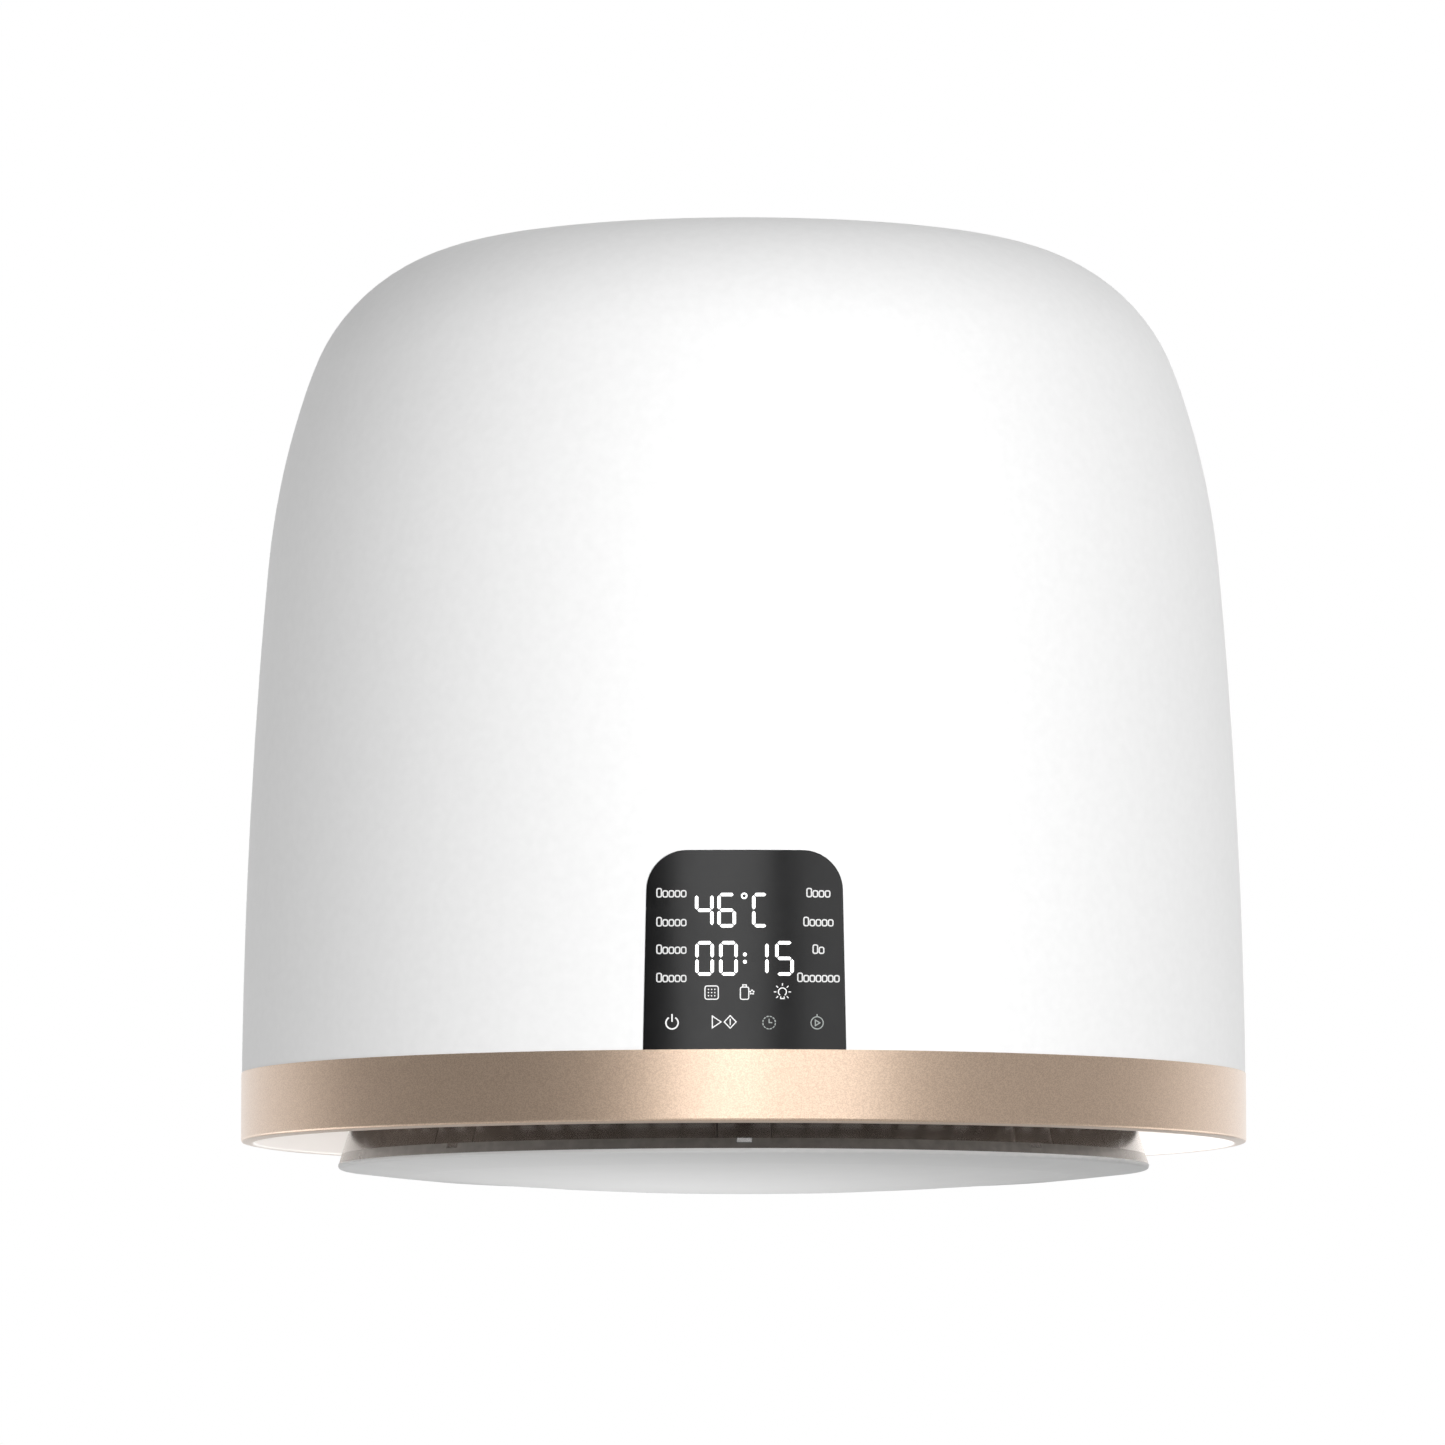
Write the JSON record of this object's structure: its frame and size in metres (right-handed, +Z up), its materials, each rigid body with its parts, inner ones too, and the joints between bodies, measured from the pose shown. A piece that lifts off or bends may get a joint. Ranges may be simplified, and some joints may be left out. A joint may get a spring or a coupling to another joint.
{
  "type": "boot dryer",
  "caption": "Hanging domed warm-air dryer for boots and garments: fold-flat bail in the crown, rear filter cover, front touch display and a ring outlet round a convex lower disc.",
  "frame": {"origin": "middle of the hanging bail's two pivots, on the dome's axis; the raised bail's load passes through it", "axes": "+Z up along the dome's axis, -Y the front with the display, +Y the rear with the air filter"},
  "size_m": [0.3, 0.3, 0.2879],
  "materials": {
    "white_shell": "satin",
    "champagne_band": "satin, fine metallic grain",
    "black_glass": "gloss",
    "smoked_cone": "gloss, smoked",
    "dark_gloss": "gloss",
    "dark_grille": "matte",
    "duct_plastic": "matte",
    "mesh_fabric": "fine woven mesh",
    "scent_felt": "felt",
    "brushed_bail": "brushed",
    "soft_grip": "soft touch",
    "steel": "zinc plated",
    "motor_metal": "lacquered",
    "copper": "bare",
    "heater_aluminium": "satin",
    "circuit_board": "solder mask",
    "board_parts": "moulded",
    "led_lens": "clear"
  },
  "bodies": {
    "housing_body": {"housing": "white_shell", "trim_band": "champagne_band", "lower_duct": "duct_plastic", "outlet_grille": "dark_grille", "flow_core": "duct_plastic", "outlet_cone": "smoked_cone", "cone_base_ring": "dark_gloss", "bottom_disc": "white_shell", "uv_board": "circuit_board", "uv_leds": "led_lens", "heater_frame": "duct_plastic", "heater_bars": "heater_aluminium", "heater_fins": "heater_aluminium", "thermal_cutout": "motor_metal", "air_sensor": "heater_aluminium", "fan_isolators": "soft_grip", "fan_shroud": "duct_plastic", "motor_bracket": "duct_plastic", "motor_can": "motor_metal", "motor_bearings": "steel", "motor_stator": "motor_metal", "stator_coils": "copper", "bail_cup": "white_shell", "bail_pins": "brushed_bail", "load_bracket": "steel", "suspension_rods": "steel", "rod_nuts": "steel", "intake_frame": "dark_grille", "display_lens": "black_glass", "display_board": "circuit_board", "display_carrier": "board_parts", "digit_modules": "board_parts", "icon_mask": "board_parts", "icon_leds": "led_lens", "touch_pads": "soft_grip", "power_board": "circuit_board", "power_components": "board_parts", "board_bracket": "steel", "mains_inlet": "board_parts", "inlet_blades": "copper", "rim_screws": "steel", "grille_screws": "steel", "core_screws": "steel", "disc_screws": "steel", "stack_bolts": "steel", "bracket_screws": "steel", "intake_screws": "steel", "carrier_screws": "steel"},
    "fan": {"impeller": "duct_plastic", "motor_shaft": "steel", "motor_rotor": "motor_metal", "impeller_nut": "steel"},
    "bail": {"hanging_bail": "brushed_bail", "bail_grip": "soft_grip"},
    "filter_door": {"filter_cover": "white_shell", "filter_frame": "dark_grille", "filter_mesh": "mesh_fabric", "scent_holder": "dark_grille", "scent_pad": "scent_felt"}
  },
  "joints": [
    {"name": "fan_spin", "type": "hinge", "parent": "housing_body", "child": "fan", "pos_m": [0, 0, -0.147], "axis": [0, 0, 1], "continuous": true},
    {"name": "bail_hinge", "type": "hinge", "parent": "housing_body", "child": "bail", "pos_m": [0, 0, 0], "axis": [1, 0, 0], "range_deg": [0, 90]},
    {"name": "filter_slide", "type": "slide", "parent": "housing_body", "child": "filter_door", "axis": [0, 1, 0], "range_m": [0, 0.05]}
  ]
}
